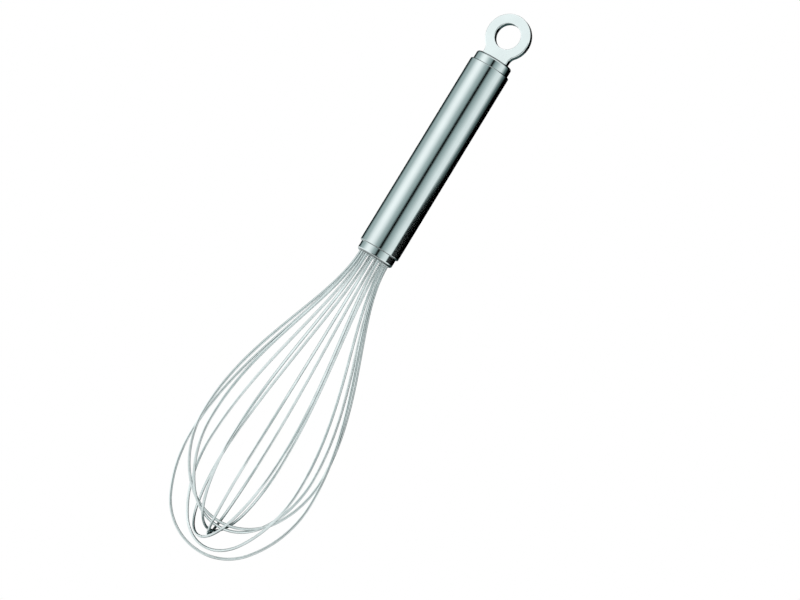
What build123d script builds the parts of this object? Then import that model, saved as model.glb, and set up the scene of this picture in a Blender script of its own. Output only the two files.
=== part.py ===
from build123d import *

import os
from collections import namedtuple
from math import cos, radians, sin

# Balloon whisk: wire loops nested in one another, a tubular steel handle and a flat hanging ring.
# Lengths are millimetres and angles degrees. +Z runs up the handle, away from the wires. The origin
# is the centre of the hole in the hanging ring, and the ring's plate faces along Y.

# Handle sleeve: a plain round tube
SLEEVE_LENGTH = 92.3
SLEEVE_DIAMETER = 18.8
SLEEVE_WALL = 0.85
SLEEVE_EDGE_ROUND = 0.45

# Collars: cups pushed into both ends of the sleeve, open towards its middle
COLLAR_FIT = 0.05
COLLAR_SHOW = 4.2
COLLAR_INSERT = 8.0
COLLAR_FACE = 3.0
COLLAR_WALL = 1.2
COLLAR_CORNER_ROUND = 1.1

# Hanging ring: a flat plate with a flared neck, and a tang through the upper collar
RING_DIAMETER = 20.4
RING_HOLE_DIAMETER = 11.6
RING_THICKNESS = 3.4
RING_EDGE_ROUND = 0.4
RING_STANDOFF = 1.2
NECK_WIDTH = 12.4
NECK_FLARE_RADIUS = 4.1
TANG_WIDTH = 9.0
TANG_MARGIN = 2.0
TANG_FIT = 0.05

# Cross pin that holds the tang behind the upper collar's face
PIN_DIAMETER = 2.0
PIN_OVERHANG = 4.5
PIN_FIT = 0.05

# Wires and the balloon that they make
WIRE_DIAMETER = 1.2
WIRE_FIT = 0.05
WIRE_TAIL = 1.5
RIM_WALL = 1.3
EXIT_TURN = -75.9
BALLOON_LENGTH = 147.0
BALLOON_DIAMETER = 64.0
CLAMP_PLATE_THICKNESS = 1.5

# Shape of one leg, as shares of the loop's own height and width
HIP_SHARE = 0.7167
FOOT_PULL_SHARE = 0.269
HIP_PULL_SHARE = 0.399

# One amount by which every cutting body runs past what it cuts
OVERRUN = 5.0

# The loops, innermost first, set a little unevenly, as hand-bent wires are. turn is the direction
# of the balloon end's plane about Z, lean and sway tilt that plane about the lower collar's face,
# offset_share is how far it passes the axis in wire diameters, rise_share is its tip's height over
# the outermost tip in wire diameters, width_shares are the reaches of its two legs as shares of the
# balloon's radius, and turn_ins the angles of the legs where the bend at the tip starts.
Loop = namedtuple("Loop", "turn lean sway offset_share rise_share width_shares turn_ins")
LOOPS = (
    Loop(-141.8, 0.2, 0.8, 0.0, 12.75, (0.988, 0.974), (42.6, 34.4)),
    Loop(-125.4, 1.7, 0.25, -0.05, 11.07, (0.986, 0.975), (38.4, 37.6)),
    Loop(-92.0, -0.05, -0.05, 0.18, 8.53, (0.981, 0.98), (36.1, 29.1)),
    Loop(-73.0, -0.65, -0.15, 1.93, 6.89, (0.981, 0.98), (38.7, 37.4)),
    Loop(-47.1, -2.8, 0.25, 3.47, 4.72, (0.982, 0.981), (33.3, 38.4)),
    Loop(-22.4, -0.8, -0.15, 3.23, 2.33, (0.982, 0.979), (41.8, 42.7)),
    Loop(8.6, -0.6, -0.7, 0.19, 0.0, (1.0, 0.962), (41.1, 26.3)),
)

# Levels along Z, from the ring down
RING_RISE = RING_DIAMETER / 2 + RING_STANDOFF
UPPER_COLLAR_TOP = -RING_RISE
SLEEVE_TOP = UPPER_COLLAR_TOP - COLLAR_SHOW
SLEEVE_BOTTOM = SLEEVE_TOP - SLEEVE_LENGTH
LOWER_COLLAR_FACE = SLEEVE_BOTTOM - COLLAR_SHOW
BALLOON_BOTTOM = LOWER_COLLAR_FACE - BALLOON_LENGTH

# Radii that follow from the sizes above
SLEEVE_RADIUS = SLEEVE_DIAMETER / 2
SLEEVE_BORE_RADIUS = SLEEVE_RADIUS - SLEEVE_WALL
COLLAR_RADIUS = SLEEVE_BORE_RADIUS - COLLAR_FIT
CUP_RADIUS = COLLAR_RADIUS - COLLAR_WALL
CUP_DEPTH = COLLAR_SHOW + COLLAR_INSERT - COLLAR_FACE
WIRE_RADIUS = WIRE_DIAMETER / 2
EXIT_RADIUS = COLLAR_RADIUS - RIM_WALL - WIRE_RADIUS
PIN_RADIUS = PIN_DIAMETER / 2


def rod(radius, bottom, top):
    """Round bar about Z between two levels."""
    return Pos(0, 0, bottom) * Cylinder(radius, top - bottom, align=(Align.CENTER, Align.CENTER, Align.MIN))


def handle_sleeve():
    """Tube of the grip, with its outer rims rounded."""
    outside = rod(SLEEVE_RADIUS, SLEEVE_BOTTOM, SLEEVE_TOP)
    rims = outside.edges().filter_by(GeomType.CIRCLE)
    outside = fillet(rims, SLEEVE_EDGE_ROUND)
    return outside - rod(SLEEVE_BORE_RADIUS, SLEEVE_BOTTOM - OVERRUN, SLEEVE_TOP + OVERRUN)


def collar_cup():
    """Cup of both collars, its closed face at Z = 0 and its open end upwards."""
    body = rod(COLLAR_RADIUS, 0, COLLAR_SHOW + COLLAR_INSERT)
    face_rim = body.edges().filter_by(GeomType.CIRCLE).sort_by(Axis.Z)[0]
    body = fillet(face_rim, COLLAR_CORNER_ROUND)
    return body - rod(CUP_RADIUS, COLLAR_FACE, COLLAR_FACE + CUP_DEPTH + OVERRUN)


def exit_turn(number, side):
    """Direction of a leg's exit about Z: the exits are evenly spaced on one circle."""
    middle = (len(LOOPS) + 1) / 2
    pitch = 180 / len(LOOPS)
    return EXIT_TURN + (number - middle) * pitch + (180 if side < 0 else 0)


def leg_bores():
    """Straight bores for every wire leg through all that holds the wires."""
    length = COLLAR_SHOW + COLLAR_INSERT + CLAMP_PLATE_THICKNESS + 2 * OVERRUN
    start = LOWER_COLLAR_FACE - OVERRUN
    bore = Pos(EXIT_RADIUS, 0, 0) * rod(WIRE_RADIUS + WIRE_FIT, start, start + length)
    return [
        Rot(Z=exit_turn(number, side)) * bore
        for number in range(1, len(LOOPS) + 1)
        for side in (-1, 1)
    ]


def wire_collar():
    """Lower collar, whose face has one hole for each wire leg."""
    return Pos(0, 0, LOWER_COLLAR_FACE) * collar_cup() - leg_bores()


def sealing_plug():
    """Resin cast round the wires in the lower collar's cup."""
    floor = LOWER_COLLAR_FACE + COLLAR_FACE
    return rod(CUP_RADIUS, floor, floor + CUP_DEPTH) - leg_bores()


def clamp_plate():
    """Pierced disc on the lower collar's open end, which spaces the wires' inner ends."""
    seat = SLEEVE_BOTTOM + COLLAR_INSERT
    return rod(COLLAR_RADIUS, seat, seat + CLAMP_PLATE_THICKNESS) - leg_bores()


def ring_collar():
    """Upper collar, whose face has the slot for the ring's tang."""
    slot = Box(
        TANG_WIDTH + 2 * TANG_FIT,
        RING_THICKNESS + 2 * TANG_FIT,
        2 * (COLLAR_FACE + OVERRUN),
    )
    return Pos(0, 0, UPPER_COLLAR_TOP) * (Rot(X=180) * collar_cup() - slot)


def pin_level():
    """Height of the cross pin's axis, just behind the upper collar's face."""
    return UPPER_COLLAR_TOP - COLLAR_FACE - PIN_FIT - PIN_RADIUS


def cross_bar(radius, length):
    """Round bar along Y at the pin's place."""
    return Pos(0, 0, pin_level()) * Rot(X=90) * Cylinder(radius, length)


def hanging_ring():
    """Flat ring, its neck flared down to the collar, and the tang that goes through the collar."""
    neck = Pos(0, -RING_RISE / 2) * Rectangle(NECK_WIDTH, RING_RISE)
    outline = Circle(RING_DIAMETER / 2) + neck
    corners_above_foot = outline.vertices().sort_by(Axis.Y)[2:4]
    outline = fillet(corners_above_foot, NECK_FLARE_RADIUS) - Circle(RING_HOLE_DIAMETER / 2)
    plate = Plane.XZ * extrude(outline, RING_THICKNESS / 2, both=True)
    broad_faces = plate.faces().sort_by(Axis.Y)[0], plate.faces().sort_by(Axis.Y)[-1]
    rims = [edge for face in broad_faces for edge in face.edges().sort_by(Axis.Z)[1:]]
    plate = fillet(rims, RING_EDGE_ROUND)
    tang_top = -RING_RISE
    tang_bottom = pin_level() - PIN_RADIUS - TANG_MARGIN
    tang = Pos(0, 0, (tang_top + tang_bottom) / 2) * Box(TANG_WIDTH, RING_THICKNESS, tang_top - tang_bottom)
    return plate + tang - cross_bar(PIN_RADIUS + PIN_FIT, RING_THICKNESS + 2 * OVERRUN)


def tang_pin():
    """Pin across the tang."""
    return cross_bar(PIN_RADIUS, RING_THICKNESS + 2 * PIN_OVERHANG)


def tip_level(loop):
    """Height of one loop's centre line at its tip, before the loop is tilted."""
    return BALLOON_BOTTOM + WIRE_RADIUS + loop.rise_share * WIRE_DIAMETER


def hip_drop(loop):
    """How far below the collar's face one loop is widest."""
    return HIP_SHARE * (LOWER_COLLAR_FACE - tip_level(loop))


def set_plane(loop):
    """Where the balloon end's plane of one loop lies, its tilts taken about the collar's face."""
    face = Pos(0, 0, LOWER_COLLAR_FACE)
    tilt = face * Rot(X=loop.lean, Y=loop.sway) * face.inverse()
    return Rot(Z=loop.turn) * tilt * Pos(0, loop.offset_share * WIRE_DIAMETER, 0)


def balloon_end(loop, side):
    """One side's two arcs in the loop's own plane, from the widest place down to the tip."""
    reach, angle = (pair[side < 0] for pair in (loop.width_shares, loop.turn_ins))
    half_width = reach * BALLOON_DIAMETER / 2 - WIRE_RADIUS
    tip = tip_level(loop)
    hip = LOWER_COLLAR_FACE - hip_drop(loop)
    turn_in = radians(angle)
    flank_radius = ((hip - tip) * cos(turn_in) - half_width * (1 - sin(turn_in))) / (
        sin(turn_in) + cos(turn_in) - 1
    )
    flank_end = (
        side * (half_width - flank_radius * (1 - cos(turn_in))),
        hip - flank_radius * sin(turn_in),
    )
    flank = TangentArc((side * half_width, hip), flank_end, tangent=(0, -1))
    crown = TangentArc(flank_end, (0, tip), tangent=(-side * sin(turn_in), -cos(turn_in)))
    return [set_plane(loop) * (Plane.XZ * edge) for edge in (flank, crown)]


def leg(loop, number, side):
    """One leg's centre line: straight in its bore, then one cubic out to the widest place."""
    flank, crown = balloon_end(loop, side)
    inner_level = SLEEVE_BOTTOM + COLLAR_INSERT + CLAMP_PLATE_THICKNESS + WIRE_TAIL
    angle = radians(exit_turn(number, side))
    across = (EXIT_RADIUS * cos(angle), EXIT_RADIUS * sin(angle))
    foot = Vector(*across, LOWER_COLLAR_FACE)
    hip = flank @ 0
    foot_pull = foot - Vector(0, 0, FOOT_PULL_SHARE * hip_drop(loop))
    hip_pull = hip - flank % 0 * (HIP_PULL_SHARE * hip_drop(loop))
    straight = Line((*across, inner_level), foot)
    return [straight, Bezier(foot, foot_pull, hip_pull, hip), flank, crown]


def wire_loop(loop, number):
    """One wire: both legs and the bend that joins them."""
    path = Wire(leg(loop, number, 1) + leg(loop, number, -1))
    section = Plane(origin=path @ 0, z_dir=path % 0) * Circle(WIRE_RADIUS)
    return sweep(section, path)


def main():
    parts = {
        "handle_sleeve": handle_sleeve(),
        "wire_collar": wire_collar(),
        "sealing_plug": sealing_plug(),
        "clamp_plate": clamp_plate(),
        "ring_collar": ring_collar(),
        "hanging_ring": hanging_ring(),
        "tang_pin": tang_pin(),
    }
    for number, loop in enumerate(LOOPS, start=1):
        parts[f"wire_loop_{number}"] = wire_loop(loop, number)
    os.makedirs("parts", exist_ok=True)
    for name, solid in parts.items():
        export_step(solid, f"parts/{name}.step")


main()
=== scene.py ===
"""Dresses a steel balloon whisk in its materials and stands it in a plain light studio.

All lengths are metres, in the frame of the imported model: +Z runs up the handle and the origin is
the centre of the hole in the hanging ring. The wires are swept again, smoother, on the same centre
lines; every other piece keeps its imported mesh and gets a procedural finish.
"""

from collections import namedtuple
from math import cos, pi, radians, sin

import bpy
from bpy.props import FloatProperty, FloatVectorProperty, IntProperty, PointerProperty
from bpy.types import Operator, Panel, PropertyGroup
from mathutils import Matrix, Vector
from mathutils.geometry import interpolate_bezier


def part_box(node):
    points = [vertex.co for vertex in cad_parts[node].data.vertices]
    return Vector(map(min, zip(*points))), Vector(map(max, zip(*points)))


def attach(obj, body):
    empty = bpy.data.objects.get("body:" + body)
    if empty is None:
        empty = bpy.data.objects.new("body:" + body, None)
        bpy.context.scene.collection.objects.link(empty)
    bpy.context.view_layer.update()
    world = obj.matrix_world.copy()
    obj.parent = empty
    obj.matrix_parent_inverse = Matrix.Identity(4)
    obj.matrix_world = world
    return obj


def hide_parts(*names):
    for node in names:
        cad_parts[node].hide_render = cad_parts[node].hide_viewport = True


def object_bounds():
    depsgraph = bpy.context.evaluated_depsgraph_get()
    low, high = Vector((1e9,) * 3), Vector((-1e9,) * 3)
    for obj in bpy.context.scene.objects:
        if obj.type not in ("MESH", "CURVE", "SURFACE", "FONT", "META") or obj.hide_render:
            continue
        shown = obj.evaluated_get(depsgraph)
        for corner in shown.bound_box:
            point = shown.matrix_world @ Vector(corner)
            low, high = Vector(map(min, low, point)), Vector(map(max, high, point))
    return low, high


bl_info = {
    "name": "Balloon Whisk Studio",
    "version": (1, 0, 0),
    "blender": (4, 5, 0),
    "location": "View3D > Sidebar > Whisk",
    "description": "Finishes a steel balloon whisk and sets it in a plain light studio",
    "category": "Object",
}

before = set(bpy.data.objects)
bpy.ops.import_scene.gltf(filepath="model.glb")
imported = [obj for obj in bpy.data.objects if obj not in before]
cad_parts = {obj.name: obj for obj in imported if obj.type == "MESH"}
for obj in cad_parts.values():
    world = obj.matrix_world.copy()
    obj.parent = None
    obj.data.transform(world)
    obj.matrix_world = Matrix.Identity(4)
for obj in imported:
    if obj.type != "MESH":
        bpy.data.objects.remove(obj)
CAD_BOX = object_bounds()
BODY = "root"
MM = 0.001
SENSOR_WIDTH = 36.0
TENT_STEPS = 128
FLOOR_STEPS = 96

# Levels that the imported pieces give
COLLAR_FACE_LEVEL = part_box("wire_collar")[0].z
COLLAR_TOP_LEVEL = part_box("ring_collar")[1].z
SLEEVE_LEVELS = [corner.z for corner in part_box("handle_sleeve")]
CLAMP_TOP_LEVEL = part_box("clamp_plate")[1].z
BALLOON_BOTTOM_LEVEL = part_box("wire_loop_7")[0].z

# The loops, innermost first. turn is the direction of the balloon end's plane about Z, lean and
# sway tilt that plane about the collar's face, offset_share is how far it passes the axis in wire
# diameters, rise_share its tip's height over the outermost tip in wire diameters, width_shares the
# reaches of its two legs as shares of the balloon's radius, and turn_ins the angles of the legs
# where the bend at the tip starts. Angles are degrees. The numbers are the part's own: a separate
# program fitted them to the lines of the wires in the photograph, and they were then rounded.
Loop = namedtuple("Loop", "turn lean sway offset_share rise_share width_shares turn_ins")
LOOPS = (
    Loop(-141.8, 0.2, 0.8, 0.0, 12.75, (0.988, 0.974), (42.6, 34.4)),
    Loop(-125.4, 1.7, 0.25, -0.05, 11.07, (0.986, 0.975), (38.4, 37.6)),
    Loop(-92.0, -0.05, -0.05, 0.18, 8.53, (0.981, 0.98), (36.1, 29.1)),
    Loop(-73.0, -0.65, -0.15, 1.93, 6.89, (0.981, 0.98), (38.7, 37.4)),
    Loop(-47.1, -2.8, 0.25, 3.47, 4.72, (0.982, 0.981), (33.3, 38.4)),
    Loop(-22.4, -0.8, -0.15, 3.23, 2.33, (0.982, 0.979), (41.8, 42.7)),
    Loop(8.6, -0.6, -0.7, 0.19, 0.0, (1.0, 0.962), (41.1, 26.3)),
)


# Node helpers


def add(tree, kind, inputs=None, **settings):
    """Adds a node, sets its attributes, then fills inputs with values or with other sockets."""
    node = tree.nodes.new(kind)
    for name, value in settings.items():
        setattr(node, name, value)
    for key, value in (inputs or {}).items():
        if isinstance(value, bpy.types.NodeSocket):
            tree.links.new(value, node.inputs[key])
        else:
            node.inputs[key].default_value = value
    return node


def new_material(name):
    """Empty node material; returns it and its tree."""
    material = bpy.data.materials.new(name)
    material.use_nodes = True
    material.node_tree.nodes.clear()
    return material, material.node_tree


def ramp(tree, factor, stops):
    """Colour ramp over (position, colour) stops."""
    node = add(tree, "ShaderNodeValToRGB", {"Fac": factor})
    elements = node.color_ramp.elements
    while len(elements) > 1:
        elements.remove(elements[-1])
    for index, (position, colour) in enumerate(stops):
        element = elements[0] if index == 0 else elements.new(position)
        element.position = position
        element.color = (*colour, 1.0)
    return node.outputs["Color"]


def combine(tree, operation, *values):
    """Result of a math node over numbers and sockets."""
    node = add(tree, "ShaderNodeMath", dict(enumerate(values)), operation=operation)
    return node.outputs["Value"]


def graded(tree, value, low, high, first, last, **settings):
    """Goes from first, where value is low, to last, where it is high, and no further."""
    inputs = {"Value": value, "From Min": low, "From Max": high, "To Min": first, "To Max": last}
    return add(tree, "ShaderNodeMapRange", inputs, **settings).outputs["Result"]


def mixed_colour(tree, share, first, second):
    """Colour from first, where share is 0, to second, where it is 1."""
    inputs = {0: share, 6: first, 7: second}
    return add(tree, "ShaderNodeMix", inputs, data_type="RGBA").outputs[2]


def finish_steel(tree, colour, roughness, normal):
    """Metal shader and output of every steel material."""
    shader = add(
        tree,
        "ShaderNodeBsdfPrincipled",
        {"Base Color": colour, "Metallic": 1.0, "Roughness": roughness, "Normal": normal},
    )
    add(tree, "ShaderNodeOutputMaterial", {"Surface": shader.outputs["BSDF"]})


# Materials


# Noise scales per metre, and the share of the colour that the darkest part of each pattern keeps
CLOUD_SCALE, CLOUD_SHARE = 90.0, 0.93
BLOTCH_SCALE, BLOTCH_SHARE = 240.0, 0.9
RESIN_SCALE, RESIN_SHARE = 300.0, 0.75

# Grain of the steel pieces, against the sleeve's width and depth of grain: how fine it is, how many
# times longer than wide, how deep, and how much its roughness varies either way
Grain = namedtuple("Grain", "fineness_share stretch depth_share rough_spread")
SLEEVE_GRAIN = Grain(1.0, 60.0, 1.0, 0.02)
COLLAR_GRAIN = Grain(0.7, 28.0, 1.5, 0.02)
RING_GRAIN = Grain(0.6, 30.0, 1.0, 0.04)
INNER_GRAIN = Grain(1 / 6, 1.0, 4.0, 0.08)

# Painted shade at the corners of the two ends of a round piece: the piece's levels, how high its
# shaded corners are and the share of the colour that they keep. They are that dark over their outer
# part, and the colour is full again where the corner ends.
PaintedCorners = namedtuple("PaintedCorners", "low high height kept_share")
PAINTED_SHADE_OUTER_SHARE = 0.5


def painted_corner_shade(tree, place, corners):
    """Painted shade: 1 on a round piece, falling to the corners' own share where its two ends turn
    in.
    """
    level = add(tree, "ShaderNodeSeparateXYZ", {"Vector": place}).outputs["Z"]
    inner, outer = corners.height, PAINTED_SHADE_OUTER_SHARE * corners.height
    shades = [
        graded(tree, level, end, inside, corners.kept_share, 1.0, interpolation_type="SMOOTHSTEP")
        for end, inside in (
            (corners.low + outer, corners.low + inner),
            (corners.high - outer, corners.high - inner),
        )
    ]
    return combine(tree, "MULTIPLY", *shades)


def grained_steel(name, tone, roughness, handle, grain, turned, corners=None):
    """Steel with fine grain, turned round the handle's axis or drawn along it, with painted shade at
    the corners when they are given.
    """
    material, tree = new_material(name)
    place = add(tree, "ShaderNodeTexCoord").outputs["Object"]
    across = grain.fineness_share / handle.grain_width
    along = across / grain.stretch
    scale = (along, along, across) if turned else (across, across, along)
    mapped = add(tree, "ShaderNodeMapping", {"Vector": place, "Scale": scale}).outputs["Vector"]
    lines = add(
        tree,
        "ShaderNodeTexNoise",
        {"Vector": mapped, "Scale": 1.0, "Detail": 5.0, "Roughness": 0.65},
    ).outputs["Fac"]
    clouds = add(
        tree,
        "ShaderNodeTexNoise",
        {"Vector": place, "Scale": CLOUD_SCALE, "Detail": 3.0, "Roughness": 0.55},
    ).outputs["Fac"]
    deep = [channel * CLOUD_SHARE for channel in tone]
    colour = ramp(tree, clouds, ((0.3, deep), (0.7, tone)))
    # Painted shade: the colour is darkened towards the rounded corners at the piece's two ends.
    if corners:
        shade = painted_corner_shade(tree, place, corners)
        colour = add(
            tree, "ShaderNodeVectorMath", {0: colour, "Scale": shade}, operation="SCALE"
        ).outputs["Vector"]
    spread = grain.rough_spread
    rough = graded(tree, lines, 0.3, 0.7, roughness - spread, roughness + spread)
    bump = add(
        tree,
        "ShaderNodeBump",
        {"Strength": 1.0, "Distance": grain.depth_share * handle.grain_depth, "Height": lines},
    )
    finish_steel(tree, colour, rough, bump.outputs["Normal"])
    return material


def drawn_wire(name, wires):
    """Spring wire with die lines drawn along it, read from the tube's own UV map."""
    material, tree = new_material(name)
    sheet = add(tree, "ShaderNodeUVMap", uv_map="WireUV").outputs["UV"]
    across = 1 / wires.line_width
    scale = (across, across / wires.line_stretch, 1.0)
    mapped = add(tree, "ShaderNodeMapping", {"Vector": sheet, "Scale": scale}).outputs["Vector"]
    lines = add(
        tree,
        "ShaderNodeTexNoise",
        {"Vector": mapped, "Scale": 1.0, "Detail": 3.0, "Roughness": 0.6},
    ).outputs["Fac"]
    place = add(tree, "ShaderNodeTexCoord").outputs["Object"]
    blotches = add(
        tree, "ShaderNodeTexNoise", {"Vector": place, "Scale": BLOTCH_SCALE, "Detail": 2.0}
    ).outputs["Fac"]
    tone = list(wires.tone)
    deep = [channel * BLOTCH_SHARE for channel in tone]
    colour = ramp(tree, blotches, ((0.35, deep), (0.65, tone)))
    rough = graded(tree, blotches, 0.35, 0.65, wires.roughness + 0.05, wires.roughness - 0.04)
    bump = add(
        tree,
        "ShaderNodeBump",
        {"Strength": 1.0, "Distance": wires.line_depth, "Height": lines},
    )
    finish_steel(tree, colour, rough, bump.outputs["Normal"])
    return material


def cast_resin(name, tone):
    """Clouded sealing resin."""
    material, tree = new_material(name)
    place = add(tree, "ShaderNodeTexCoord").outputs["Object"]
    clouds = add(
        tree, "ShaderNodeTexNoise", {"Vector": place, "Scale": RESIN_SCALE, "Detail": 4.0}
    ).outputs["Fac"]
    deep = [channel * RESIN_SHARE for channel in tone]
    colour = ramp(tree, clouds, ((0.35, deep), (0.65, tone)))
    bump = add(
        tree, "ShaderNodeBump", {"Strength": 0.4, "Distance": 0.1 * MM, "Height": clouds}
    )
    shader = add(
        tree,
        "ShaderNodeBsdfPrincipled",
        {"Base Color": colour, "Roughness": 0.45, "Normal": bump.outputs["Normal"]},
    )
    add(tree, "ShaderNodeOutputMaterial", {"Surface": shader.outputs["BSDF"]})
    return material


def dress(nodes, material):
    """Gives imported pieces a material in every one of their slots."""
    for name in nodes:
        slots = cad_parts[name].material_slots
        for slot in slots:
            slot.material = material


# Wires


def balloon_frame(loop, wires):
    """Where the balloon end's plane of one loop lies, its levels measured from the collar's face."""
    turn = Matrix.Rotation(radians(loop.turn), 4, "Z")
    face = Matrix.Translation((0.0, 0.0, COLLAR_FACE_LEVEL))
    lean = Matrix.Rotation(radians(loop.lean), 4, "X")
    sway = Matrix.Rotation(radians(loop.sway), 4, "Y")
    aside = Matrix.Translation((0.0, loop.offset_share * wires.diameter, 0.0))
    return turn @ face @ lean @ sway @ aside


def bend_points(centre, radius, first, last, step):
    """Points of an arc that turns from angle first to angle last, both ends kept."""
    count = max(2, round((last - first) * radius / step))
    angles = [first + (last - first) * index / count for index in range(count + 1)]
    return [(centre[0] + radius * cos(a), centre[1] - radius * sin(a)) for a in angles]


def leg_points(number, loop, side, wires):
    """One leg's centre line from its inner end down to the tip."""
    half_width = loop.width_shares[side < 0] * wires.balloon_diameter / 2 - wires.diameter / 2
    turn_in = radians(loop.turn_ins[side < 0])
    tip = wires.diameter / 2 + loop.rise_share * wires.diameter - wires.balloon_length
    drop = -wires.hip_share * tip
    flank = ((-drop - tip) * cos(turn_in) - half_width * (1 - sin(turn_in))) / (
        sin(turn_in) + cos(turn_in) - 1
    )
    crown = (half_width - flank * (1 - cos(turn_in))) / cos(turn_in)
    step = wires.point_spacing
    bends = bend_points((half_width - flank, -drop), flank, 0.0, turn_in, step)
    bends += bend_points((0.0, tip + crown), crown, turn_in, pi / 2, step)[1:]
    place = balloon_frame(loop, wires)
    balloon_end = [place @ Vector((side * x, 0.0, z)) for x, z in bends]

    middle = (len(LOOPS) + 1) / 2
    angle = wires.exit_turn + (number - middle) * pi / len(LOOPS) + (pi if side < 0 else 0.0)
    across = (wires.exit_radius * cos(angle), wires.exit_radius * sin(angle))
    foot, hip = Vector((*across, COLLAR_FACE_LEVEL)), balloon_end[0]
    foot_pull = foot - Vector((0.0, 0.0, wires.foot_pull_share * drop))
    hip_pull = hip + place.to_3x3() @ Vector((0.0, 0.0, wires.hip_pull_share * drop))
    sweep = interpolate_bezier(foot, foot_pull, hip_pull, hip, round(drop / step))
    inner_end = Vector((*across, CLAMP_TOP_LEVEL + wires.tail))
    return [inner_end, *sweep, *balloon_end[1:]]


def loop_points(number, loop, wires):
    """Centre line of one loop, from one inner end to the other."""
    first, last = (leg_points(number, loop, side, wires) for side in (1, -1))
    return first + last[-2::-1]


def wire_tree():
    """Geometry nodes that sweep a round wire along a centre line."""
    tree = bpy.data.node_groups.new("Wire loop", "GeometryNodeTree")
    face = tree.interface
    face.new_socket("Geometry", in_out="INPUT", socket_type="NodeSocketGeometry")
    face.new_socket("Diameter", in_out="INPUT", socket_type="NodeSocketFloat")
    face.new_socket("Sides", in_out="INPUT", socket_type="NodeSocketInt")
    face.new_socket("Finish", in_out="INPUT", socket_type="NodeSocketMaterial")
    face.new_socket("Geometry", in_out="OUTPUT", socket_type="NodeSocketGeometry")

    given = add(tree, "NodeGroupInput").outputs
    along = add(tree, "GeometryNodeSplineParameter").outputs["Length"]
    measured = add(
        tree, "GeometryNodeCaptureAttribute", {"Geometry": given["Geometry"]}, domain="POINT"
    )
    measured.capture_items.new("FLOAT", "Length")
    tree.links.new(along, measured.inputs["Length"])

    radius = combine(tree, "MULTIPLY", given["Diameter"], 0.5)
    ring = add(
        tree,
        "GeometryNodeCurvePrimitiveCircle",
        {"Resolution": given["Sides"], "Radius": radius},
        mode="RADIUS",
    ).outputs["Curve"]
    around = add(tree, "GeometryNodeSplineParameter").outputs["Length"]
    section = add(tree, "GeometryNodeCaptureAttribute", {"Geometry": ring}, domain="POINT")
    section.capture_items.new("FLOAT", "Length")
    tree.links.new(around, section.inputs["Length"])
    tube = add(
        tree,
        "GeometryNodeCurveToMesh",
        {
            "Curve": measured.outputs["Geometry"],
            "Profile Curve": section.outputs["Geometry"],
            "Fill Caps": True,
        },
    ).outputs["Mesh"]
    sheet = add(
        tree,
        "ShaderNodeCombineXYZ",
        {"X": section.outputs["Length"], "Y": measured.outputs["Length"]},
    )
    mapped = add(
        tree,
        "GeometryNodeStoreNamedAttribute",
        {"Geometry": tube, "Name": "WireUV", "Value": sheet.outputs["Vector"]},
        data_type="FLOAT2",
        domain="CORNER",
    ).outputs["Geometry"]
    smooth = add(
        tree, "GeometryNodeSetShadeSmooth", {"Geometry": mapped, "Shade Smooth": True}
    ).outputs["Geometry"]
    real = add(tree, "GeometryNodeRealizeInstances", {"Geometry": smooth}).outputs["Geometry"]
    finished = add(
        tree, "GeometryNodeSetMaterial", {"Geometry": real, "Material": given["Finish"]}
    ).outputs["Geometry"]
    add(tree, "NodeGroupOutput", {"Geometry": finished})
    return tree


def set_inputs(modifier, values):
    """Sets a nodes modifier's inputs by the identifiers of its tree's sockets."""
    for socket in modifier.node_group.interface.items_tree:
        if socket.in_out == "INPUT" and socket.name in values:
            modifier[socket.identifier] = values[socket.name]


def swept_wire(number, loop, wires, tree, finish):
    """Plain mesh of one loop, swept by the nodes from its centre line."""
    points = loop_points(number, loop, wires)
    curve = bpy.data.curves.new(f"wire_line_{number}", "CURVE")
    curve.dimensions = "3D"
    spline = curve.splines.new("POLY")
    spline.points.add(len(points) - 1)
    for point, place in zip(spline.points, points):
        point.co = (*place, 1.0)
    line = bpy.data.objects.new(f"wire_line_{number}", curve)
    bpy.context.scene.collection.objects.link(line)
    sweep = line.modifiers.new("Sweep", "NODES")
    sweep.node_group = tree
    set_inputs(sweep, {"Diameter": wires.diameter, "Sides": wires.sides, "Finish": finish})
    graph = bpy.context.evaluated_depsgraph_get()
    mesh = bpy.data.meshes.new_from_object(line.evaluated_get(graph))
    bpy.data.objects.remove(line)
    mesh.name = f"balloon_wire_{number}"
    piece = bpy.data.objects.new(f"balloon_wire_{number}", mesh)
    bpy.context.scene.collection.objects.link(piece)
    return piece


# Studio

# A tent of graded light stands round the whisk and is seen in reflections only. Angles are degrees
# to the right of the camera's own direction, up to 180 either way, each with its level of light.
# The first row is what the handle mirrors, the second what the wires mirror, lower down. The first
# was read off the photograph: its brightness at each pixel across the handle, over a reflectance of
# 0.8, at the angle that a round handle mirrors there, thinned to these stops. The second
# was tuned by setting renders beside the photograph.
HANDLE_TONES = (
    (-180, 0.01), (-140, 0.03), (-122, 0.46), (-100, 0.56), (-80, 0.98), (-67, 1.16),
    (-55, 1.16), (-43, 0.98), (-27, 0.57), (-12, 0.38), (-3, 0.0), (3, 0.0), (12, 0.38),
    (26, 0.56), (50, 0.95), (70, 0.99), (92, 0.22), (112, 0.0),
)
WIRE_TONES = (
    (-180, 0.6), (-165, 1.05), (-60, 1.15), (-36, 1.05), (-21, 0.0), (23, 0.0), (38, 1.05),
    (60, 1.15), (100, 1.05), (122, 0.08), (180, 0.08),
)
# Past the edge angle the handle's row runs faster, the more so the lower down. Each pair is a level
# in metres and how many times faster it runs there, first read off three bands of the photograph.
EDGE_ANGLE = 70.0
EDGE_STRETCH = ((-0.033, 6.5), (-0.013, 3.4), (0.012, 1.0))
# Between these levels the wires' row gives way to the handle's.
WIRE_BAND = (-0.104, -0.084)
# In front of the whisk, out to the first of these angles and fading by the second, the tent turns
# plain white under and over these levels, in metres.
FRONT_ANGLES = (45.0, 60.0)
FRONT_LEVELS = ((-0.54, -0.40), (0.24, 0.38))
PLAIN_LIGHT = 1.06
# Red of a light level, against its green and blue: the darker it is, the more it leans to
# blue-green, as the photograph does.
RED_SHARE, RED_POWER = 0.914, 1.2

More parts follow.
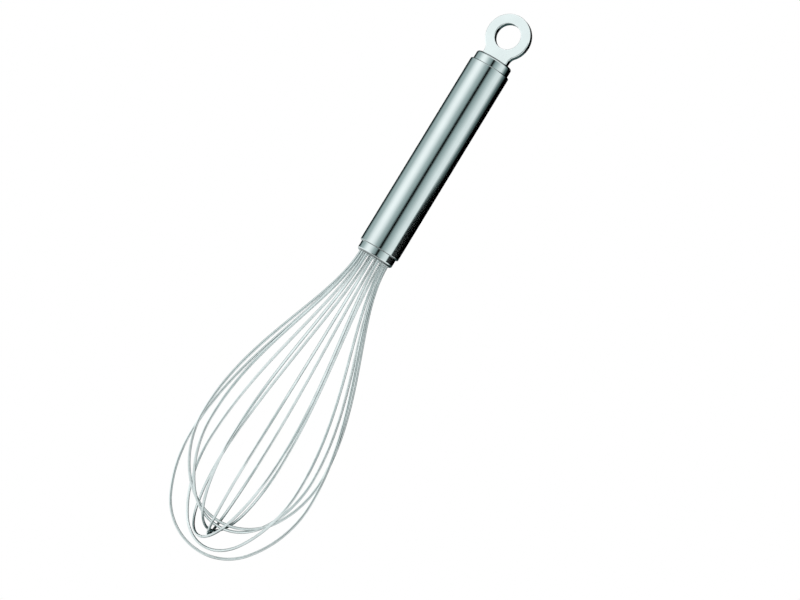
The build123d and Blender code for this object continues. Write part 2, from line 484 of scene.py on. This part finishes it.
# In direct and mirrored looks plain white is mixed into the floor: this share of white out to the
# first share of its radius, and nothing but white from the second on.
FLOOR_FADE_SHARES = (0.35, 0.9)
FLOOR_WHITE_SHARE = 0.45


def light_colour(light):
    """Colour of one light level of the tent."""
    return (RED_SHARE * light**RED_POWER, light, light)


def tone_row(tree, angle, tones):
    """Colour that a row of tones has at an angle."""
    stops = [((degrees + 180) / 360, light_colour(light)) for degrees, light in tones]
    return ramp(tree, graded(tree, angle, -180.0, 180.0, 0.0, 1.0), stops)


def squeezed_angle(tree, angle, height):
    """The angle that the handle's row is read at, which runs faster past the edge angle."""
    (bottom, most), (middle, more), (top, least) = EDGE_STRETCH
    below = graded(tree, height, bottom, middle, most, more)
    above = graded(tree, height, middle, top, 0.0, least - more)
    over_edge = combine(tree, "MAXIMUM", combine(tree, "SUBTRACT", angle, EDGE_ANGLE), 0.0)
    past = combine(tree, "MULTIPLY", over_edge, combine(tree, "ADD", below, above))
    squeezed = combine(tree, "ADD", combine(tree, "MINIMUM", angle, EDGE_ANGLE), past)
    return combine(tree, "MINIMUM", squeezed, 180.0)


def white_share(tree, angle, height):
    """How far the tent is plain white, in front of the whisk and under or over the two rows."""
    (deepest, deep), (tall, tallest) = FRONT_LEVELS
    under = graded(tree, height, deepest, deep, 1.0, 0.0)
    over = graded(tree, height, tall, tallest, 0.0, 1.0)
    front = graded(tree, combine(tree, "ABSOLUTE", angle), *FRONT_ANGLES, 1.0, 0.0)
    return combine(tree, "MULTIPLY", combine(tree, "ADD", under, over), front)


def tent_material(heading, studio):
    """Light of the tent by angle and height; it falls off at the tent's floor and roof."""
    material, tree = new_material("studio_tent")
    place = add(tree, "ShaderNodeTexCoord").outputs["Object"]
    turned = add(
        tree, "ShaderNodeVectorRotate", {"Vector": place, "Angle": -heading}, rotation_type="Z_AXIS"
    ).outputs["Vector"]
    axes = add(tree, "ShaderNodeSeparateXYZ", {"Vector": turned}).outputs
    height, front = axes["Z"], combine(tree, "MULTIPLY", axes["Y"], -1.0)
    angle = combine(tree, "MULTIPLY", combine(tree, "ARCTAN2", axes["X"], front), 180 / pi)
    by_wires = tone_row(tree, angle, WIRE_TONES)
    by_handle = tone_row(tree, squeezed_angle(tree, angle, height), HANDLE_TONES)
    rows = mixed_colour(tree, graded(tree, height, *WIRE_BAND, 0.0, 1.0), by_wires, by_handle)
    plain = (*light_colour(PLAIN_LIGHT), 1.0)
    colour = mixed_colour(tree, white_share(tree, angle, height), rows, plain)
    low, high, fade = studio.tent_low, studio.tent_high, studio.tent_fade
    strength = combine(
        tree,
        "MULTIPLY",
        graded(tree, height, low, low + fade, studio.tent_cap_light, 1.0),
        graded(tree, height, high - fade, high, 1.0, studio.tent_cap_light),
    )
    glow = add(tree, "ShaderNodeEmission", {"Color": colour, "Strength": strength})
    add(tree, "ShaderNodeOutputMaterial", {"Surface": glow.outputs["Emission"]})
    material.cycles.emission_sampling = "NONE"
    return material


def build_tent(heading, studio):
    """Round tent about the Z axis with floor and roof, seen in reflections only."""
    distance, low, high = studio.tent_radius, studio.tent_low, studio.tent_high
    vertices, faces = [], []
    for index in range(TENT_STEPS):
        angle = 2 * pi * index / TENT_STEPS
        place = (distance * sin(angle), -distance * cos(angle))
        vertices += [(*place, low), (*place, high)]
        a, b = 2 * index, 2 * ((index + 1) % TENT_STEPS)
        faces.append((a, b, b + 1, a + 1))
    faces += [tuple(range(start, 2 * TENT_STEPS, 2)) for start in (0, 1)]
    mesh = bpy.data.meshes.new("studio_tent")
    mesh.from_pydata(vertices, [], faces)
    mesh.materials.append(tent_material(heading, studio))
    tent = bpy.data.objects.new("studio_tent", mesh)
    bpy.context.scene.collection.objects.link(tent)
    tent.visible_camera = False
    tent.visible_diffuse = False
    tent.visible_shadow = False
    tent.visible_transmission = False


def seen_plainly(tree):
    """1 for camera, glossy and transmission rays, which see the background as it is painted."""
    path = add(tree, "ShaderNodeLightPath").outputs
    either = combine(tree, "MAXIMUM", path["Is Camera Ray"], path["Is Glossy Ray"])
    return combine(tree, "MAXIMUM", either, path["Is Transmission Ray"])


def build_world(ambient):
    """White background, and a plain ambient light for everything else."""
    world = bpy.data.worlds.new("studio")
    bpy.context.scene.world = world
    world.use_nodes = True
    tree = world.node_tree
    tree.nodes.clear()
    light = add(tree, "ShaderNodeBackground", {"Color": (1, 1, 1, 1), "Strength": ambient})
    white = add(tree, "ShaderNodeBackground", {"Color": (1, 1, 1, 1), "Strength": 1.0})
    mixed = add(
        tree,
        "ShaderNodeMixShader",
        {0: seen_plainly(tree), 1: light.outputs[0], 2: white.outputs[0]},
    )
    add(tree, "ShaderNodeOutputWorld", {"Surface": mixed.outputs[0]})


def build_floor(level, radius, tone):
    """Pale round floor that keeps the whisk's shadow and fades to white at its rim."""
    mesh = bpy.data.meshes.new("studio_floor")
    angles = [2 * pi * index / FLOOR_STEPS for index in range(FLOOR_STEPS)]
    rim = [(radius * cos(angle), radius * sin(angle), level) for angle in angles]
    mesh.from_pydata(rim, [], [tuple(range(FLOOR_STEPS))])
    material, tree = new_material("studio_floor")
    place = add(tree, "ShaderNodeTexCoord").outputs["Object"]
    flat = add(tree, "ShaderNodeVectorMath", {0: place, 1: (1, 1, 0)}, operation="MULTIPLY")
    reach = add(tree, "ShaderNodeVectorMath", {0: flat.outputs[0]}, operation="LENGTH")
    first, last = (share * radius for share in FLOOR_FADE_SHARES)
    fade = graded(tree, reach.outputs["Value"], first, last, FLOOR_WHITE_SHARE, 1.0)
    share = combine(tree, "MULTIPLY", fade, seen_plainly(tree))
    paint = add(
        tree, "ShaderNodeBsdfPrincipled", {"Base Color": (*tone, 1), "Roughness": 0.9}
    )
    white = add(tree, "ShaderNodeEmission", {"Color": (1, 1, 1, 1), "Strength": 1.0})
    mixed = add(
        tree,
        "ShaderNodeMixShader",
        {0: share, 1: paint.outputs[0], 2: white.outputs[0]},
    )
    add(tree, "ShaderNodeOutputMaterial", {"Surface": mixed.outputs[0]})
    material.cycles.emission_sampling = "NONE"
    mesh.materials.append(material)
    floor = bpy.data.objects.new("studio_floor", mesh)
    bpy.context.scene.collection.objects.link(floor)


def build_lamp(name, place, target, size, energy):
    """Square soft lamp at place, aimed at target."""
    light = bpy.data.lights.new(name, "AREA")
    light.shape = "SQUARE"
    light.size = size
    light.energy = energy
    lamp = bpy.data.objects.new(name, light)
    lamp.location = place
    lamp.rotation_euler = (Vector(target) - Vector(place)).to_track_quat("-Z", "Y").to_euler()
    bpy.context.scene.collection.objects.link(lamp)


def build_camera(studio):
    """Camera at the photograph's angle, rolled so that the handle leans to the right."""
    azimuth, rise = studio.camera_azimuth, studio.camera_elevation
    across = Vector((cos(azimuth), sin(azimuth), 0.0))
    back = Vector((sin(azimuth) * cos(rise), -cos(azimuth) * cos(rise), sin(rise)))
    up = back.cross(across)
    target = studio.target_across * across + studio.target_up * up
    roll = studio.camera_roll
    right = cos(roll) * across + sin(roll) * up
    top = cos(roll) * up - sin(roll) * across
    data = bpy.data.cameras.new("photo_camera")
    data.sensor_width = SENSOR_WIDTH
    data.lens = SENSOR_WIDTH * studio.camera_distance / studio.view_width
    data.clip_start, data.clip_end = 0.05, 20.0
    camera = bpy.data.objects.new("photo_camera", data)
    turn = Matrix((right, top, back)).transposed().to_4x4()
    camera.matrix_world = Matrix.Translation(target + back * studio.camera_distance) @ turn
    bpy.context.scene.collection.objects.link(camera)
    bpy.context.scene.camera = camera


# Settings


class WhiskWires(PropertyGroup):
    """Sizes and finish of the wires."""

    diameter: FloatProperty(
        name="Wire Diameter", description="Thickness of the spring wire",
        default=1.2 * MM, min=0.2 * MM, unit="LENGTH", precision=5,
    )
    exit_radius: FloatProperty(
        name="Exit Radius", description="Radius of the circle of holes in the collar",
        default=6.6 * MM, unit="LENGTH", precision=5,
    )
    exit_turn: FloatProperty(
        name="Exit Turn", description="Direction of the middle loop's exits about the handle",
        default=radians(-75.9), unit="ROTATION",
    )
    tail: FloatProperty(
        name="Tail", description="How far each wire's end stands over the clamp plate",
        default=1.5 * MM, unit="LENGTH", precision=5,
    )
    balloon_length: FloatProperty(
        name="Balloon Length", description="From the collar's face to the tip",
        default=147.0 * MM, unit="LENGTH", precision=4,
    )
    balloon_diameter: FloatProperty(
        name="Balloon Diameter", description="Widest width of the balloon",
        default=64.0 * MM, unit="LENGTH", precision=4,
    )
    hip_share: FloatProperty(
        name="Hip Share", description="Where the balloon is widest, down from the collar",
        default=0.7167, min=0.3, max=0.9,
    )
    foot_pull_share: FloatProperty(
        name="Foot Pull Share", description="How long each leg keeps straight below the collar",
        default=0.269, min=0.01, max=0.6,
    )
    hip_pull_share: FloatProperty(
        name="Hip Pull Share", description="How long each leg keeps straight over the widest place",
        default=0.399, min=0.01, max=0.6,
    )
    point_spacing: FloatProperty(
        name="Point Spacing", description="Spacing of the points along each wire",
        default=1.0 * MM, min=0.3 * MM, unit="LENGTH", precision=5,
    )
    sides: IntProperty(
        name="Sides", description="Faces round each wire", default=24, min=8, max=64
    )
    tone: FloatVectorProperty(
        name="Wire Colour", description="Colour of the drawn steel",
        default=(0.82, 0.85, 0.85), subtype="COLOR", min=0.0, max=1.0,
    )
    roughness: FloatProperty(
        name="Wire Roughness", description="How dull the wire is",
        default=0.18, min=0.05, max=1.0, subtype="FACTOR",
    )
    line_width: FloatProperty(
        name="Die Line Width", description="Width of the lines drawn along the wire",
        default=0.08 * MM, min=0.01 * MM, unit="LENGTH", precision=5,
    )
    line_stretch: FloatProperty(
        name="Die Line Stretch", description="How many times longer than wide the lines are",
        default=40.0, min=1.0,
    )
    line_depth: FloatProperty(
        name="Die Line Depth", description="Depth of the lines drawn along the wire",
        default=0.0015 * MM, min=0.0, unit="LENGTH", precision=6,
    )


class WhiskHandle(PropertyGroup):
    """Finish of the handle, its collars and its ring."""

    tone: FloatVectorProperty(
        name="Steel Colour", description="Colour of the handle's steel",
        default=(0.76, 0.80, 0.80), subtype="COLOR", min=0.0, max=1.0,
    )
    roughness: FloatProperty(
        name="Steel Roughness", description="How dull the handle is",
        default=0.10, min=0.02, max=1.0, subtype="FACTOR",
    )
    ring_roughness: FloatProperty(
        name="Ring Roughness", description="How dull the ring's plate is",
        default=0.18, min=0.02, max=1.0, subtype="FACTOR",
    )
    ring_tone: FloatVectorProperty(
        name="Ring Colour", description="Colour of the ring's steel",
        default=(0.93, 0.95, 0.95), subtype="COLOR", min=0.0, max=1.0,
    )
    # Painted shade: the sleeve's rims and the collars' corners are painted darker over these
    # heights, down to this share of the steel's colour.
    sleeve_painted_shade: FloatProperty(
        name="Sleeve Corner", description="Height of the darker rounded rims of the sleeve",
        default=0.45 * MM, min=0.0, unit="LENGTH", precision=5,
    )
    collar_painted_shade: FloatProperty(
        name="Collar Corner", description="Height of the darker rounded corners of the collars",
        default=0.95 * MM, min=0.0, unit="LENGTH", precision=5,
    )
    painted_shade_share: FloatProperty(
        name="Corner Share", description="How much of the steel's colour its corners keep",
        default=0.35, min=0.0, max=1.0, subtype="FACTOR",
    )
    grain_width: FloatProperty(
        name="Grain Width", description="Width of the finest polishing lines",
        default=0.12 * MM, min=0.02 * MM, unit="LENGTH", precision=5,
    )
    grain_depth: FloatProperty(
        name="Grain Depth", description="Depth of the polishing lines",
        default=0.0003 * MM, min=0.0, unit="LENGTH", precision=6,
    )
    inner_share: FloatProperty(
        name="Inner Share", description="Colour of the inner pieces' steel against the handle's",
        default=0.8, min=0.0, max=1.0, subtype="FACTOR",
    )
    inner_roughness: FloatProperty(
        name="Inner Roughness", description="How dull the inner pieces' steel is",
        default=0.4, min=0.02, max=1.0, subtype="FACTOR",
    )
    resin_tone: FloatVectorProperty(
        name="Resin Colour", description="Colour of the resin round the wires' ends",
        default=(0.62, 0.60, 0.54), subtype="COLOR", min=0.0, max=1.0,
    )


class WhiskStudio(PropertyGroup):
    """Camera, floor and lights."""

    camera_azimuth: FloatProperty(
        name="Camera Azimuth", description="Direction of the camera round the whisk",
        default=radians(21.0), unit="ROTATION",
    )
    camera_elevation: FloatProperty(
        name="Camera Elevation", description="Height angle of the camera",
        default=radians(-3.0), unit="ROTATION",
    )
    camera_roll: FloatProperty(
        name="Camera Roll", description="Lean of the whisk in the picture",
        default=radians(31.32), unit="ROTATION",
    )
    camera_distance: FloatProperty(
        name="Camera Distance", description="From the camera to the middle of the picture",
        default=2.0304, min=0.3, unit="LENGTH",
    )
    view_width: FloatProperty(
        name="View Width", description="Width of the picture at that distance",
        default=0.3456, min=0.05, unit="LENGTH",
    )
    target_across: FloatProperty(
        name="Target Across", description="Middle of the picture, across the handle",
        default=18.89 * MM, unit="LENGTH", precision=4,
    )
    target_up: FloatProperty(
        name="Target Up", description="Middle of the picture, along the handle",
        default=-121.31 * MM, unit="LENGTH", precision=4,
    )
    floor_drop: FloatProperty(
        name="Floor Drop", description="Height of the hanging whisk over the floor",
        default=0.35, min=0.0, unit="LENGTH",
    )
    floor_radius: FloatProperty(
        name="Floor Radius", description="Radius of the floor",
        default=3.0, min=0.5, unit="LENGTH",
    )
    floor_tone: FloatVectorProperty(
        name="Floor Colour", description="Colour of the floor",
        default=(0.86, 0.86, 0.86), subtype="COLOR", min=0.0, max=1.0,
    )
    tent_radius: FloatProperty(
        name="Tent Radius", description="From the whisk to the tent that it mirrors",
        default=1.0, min=0.2, unit="LENGTH",
    )
    tent_low: FloatProperty(
        name="Tent Bottom", description="Level of the tent's floor",
        default=-0.60, unit="LENGTH",
    )
    tent_high: FloatProperty(
        name="Tent Top", description="Level of the tent's roof",
        default=0.75, unit="LENGTH",
    )
    tent_fade: FloatProperty(
        name="Tent Fade", description="Height over which the tent's light falls off",
        default=0.08, min=0.0, unit="LENGTH",
    )
    tent_cap_light: FloatProperty(
        name="Tent Cap Light", description="Light left on the tent's floor and roof",
        default=0.82, min=0.0, max=1.0, subtype="FACTOR",
    )
    ambient: FloatProperty(
        name="Ambient Light", description="Strength of the light from all round",
        default=0.75, min=0.0,
    )
    lamp_place: FloatVectorProperty(
        name="Lamp Place", description="Where the soft lamp overhead stands",
        default=(-0.9, -0.9, 1.6), subtype="TRANSLATION", unit="LENGTH",
    )
    lamp_size: FloatProperty(
        name="Lamp Size", description="Width of the soft lamp overhead",
        default=1.2, min=0.05, unit="LENGTH",
    )
    lamp_energy: FloatProperty(
        name="Lamp Power", description="Power of the soft lamp overhead",
        default=12.0, min=0.0, unit="POWER",
    )


# Operators


class WHISK_OT_wires(Operator):
    """Sweep the seven wire loops and give them their drawn finish"""

    bl_idname = "whisk.wires"
    bl_label = "Wire Loops"

    def execute(self, context):
        wires = context.scene.whisk_wires
        finish = drawn_wire("spring_wire_drawn", wires)
        tree = wire_tree()
        for number, loop in enumerate(LOOPS, start=1):
            piece = swept_wire(number, loop, wires, tree, finish)
            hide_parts(f"wire_loop_{number}")
            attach(piece, BODY)
        return {"FINISHED"}


class WHISK_OT_sleeve(Operator):
    """Give the handle's sleeve its finely turned finish, with painted shade at its rims"""

    bl_idname = "whisk.sleeve"
    bl_label = "Handle Sleeve"

    def execute(self, context):
        handle = context.scene.whisk_handle
        # Painted shade on the sleeve's rounded rims.
        corners = PaintedCorners(*SLEEVE_LEVELS, handle.sleeve_painted_shade, handle.painted_shade_share)
        finish = grained_steel(
            "sleeve_turned_painted_shade", list(handle.tone), handle.roughness, handle, SLEEVE_GRAIN, True, corners
        )
        dress(["handle_sleeve"], finish)
        return {"FINISHED"}


class WHISK_OT_collars(Operator):
    """Give both collars their turned finish, with painted shade at their corners"""

    bl_idname = "whisk.collars"
    bl_label = "Collars"

    def execute(self, context):
        handle = context.scene.whisk_handle
        # Painted shade on the collars' rounded corners.
        corners = PaintedCorners(
            COLLAR_FACE_LEVEL, COLLAR_TOP_LEVEL, handle.collar_painted_shade, handle.painted_shade_share
        )
        finish = grained_steel(
            "collar_turned_painted_shade", list(handle.tone), handle.roughness, handle, COLLAR_GRAIN, True, corners
        )
        dress(["wire_collar", "ring_collar"], finish)
        return {"FINISHED"}


class WHISK_OT_ring(Operator):
    """Give the hanging ring its satin finish"""

    bl_idname = "whisk.ring"
    bl_label = "Hanging Ring"

    def execute(self, context):
        handle = context.scene.whisk_handle
        finish = grained_steel(
            "ring_satin", list(handle.ring_tone), handle.ring_roughness, handle, RING_GRAIN, False
        )
        dress(["hanging_ring"], finish)
        return {"FINISHED"}


class WHISK_OT_inner_pieces(Operator):
    """Finish the pieces that lie inside the handle"""

    bl_idname = "whisk.inner_pieces"
    bl_label = "Inner Pieces"

    def execute(self, context):
        handle = context.scene.whisk_handle
        tone = [handle.inner_share * channel for channel in handle.tone]
        finish = grained_steel(
            "inner_steel_plain", tone, handle.inner_roughness, handle, INNER_GRAIN, False
        )
        dress(["clamp_plate", "tang_pin"], finish)
        dress(["sealing_plug"], cast_resin("resin_cast", list(handle.resin_tone)))
        return {"FINISHED"}


class WHISK_OT_studio(Operator):
    """Set up the tent, the floor, the lights and the camera"""

    bl_idname = "whisk.studio"
    bl_label = "Studio"

    def execute(self, context):
        studio = context.scene.whisk_studio
        build_tent(studio.camera_azimuth, studio)
        build_world(studio.ambient)
        build_floor(
            BALLOON_BOTTOM_LEVEL - studio.floor_drop, studio.floor_radius, studio.floor_tone
        )
        middle = (CAD_BOX[0] + CAD_BOX[1]) / 2
        build_lamp(
            "lamp_above", studio.lamp_place, middle, studio.lamp_size, studio.lamp_energy
        )
        build_camera(studio)
        context.scene.view_settings.view_transform = "Standard"
        return {"FINISHED"}


class WHISK_PT_panel(Panel):
    """Settings and steps of the whisk"""

    bl_label = "Balloon Whisk"
    bl_idname = "WHISK_PT_panel"
    bl_space_type = "VIEW_3D"
    bl_region_type = "UI"
    bl_category = "Whisk"

    def draw(self, context):
        scene = context.scene
        for group in (scene.whisk_wires, scene.whisk_handle, scene.whisk_studio):
            box = self.layout.box()
            for name in group.bl_rna.properties.keys():
                if name not in ("rna_type", "name"):
                    box.prop(group, name)
        for operator in OPERATORS:
            self.layout.operator(operator.bl_idname)


SETTINGS = {"whisk_wires": WhiskWires, "whisk_handle": WhiskHandle, "whisk_studio": WhiskStudio}
OPERATORS = (
    WHISK_OT_wires,
    WHISK_OT_sleeve,
    WHISK_OT_collars,
    WHISK_OT_ring,
    WHISK_OT_inner_pieces,
    WHISK_OT_studio,
)


def register():
    for group in SETTINGS.values():
        bpy.utils.register_class(group)
    for operator in OPERATORS:
        bpy.utils.register_class(operator)
    bpy.utils.register_class(WHISK_PT_panel)
    for name, group in SETTINGS.items():
        setattr(bpy.types.Scene, name, PointerProperty(type=group))


def unregister():
    for name in SETTINGS:
        delattr(bpy.types.Scene, name)
    bpy.utils.unregister_class(WHISK_PT_panel)
    for operator in reversed(OPERATORS):
        bpy.utils.unregister_class(operator)
    for group in reversed(SETTINGS.values()):
        bpy.utils.unregister_class(group)


def main():
    register()
    bpy.ops.whisk.wires()
    bpy.ops.whisk.sleeve()
    bpy.ops.whisk.collars()
    bpy.ops.whisk.ring()
    bpy.ops.whisk.inner_pieces()
    bpy.ops.whisk.studio()


if __name__ == "__main__":
    main()
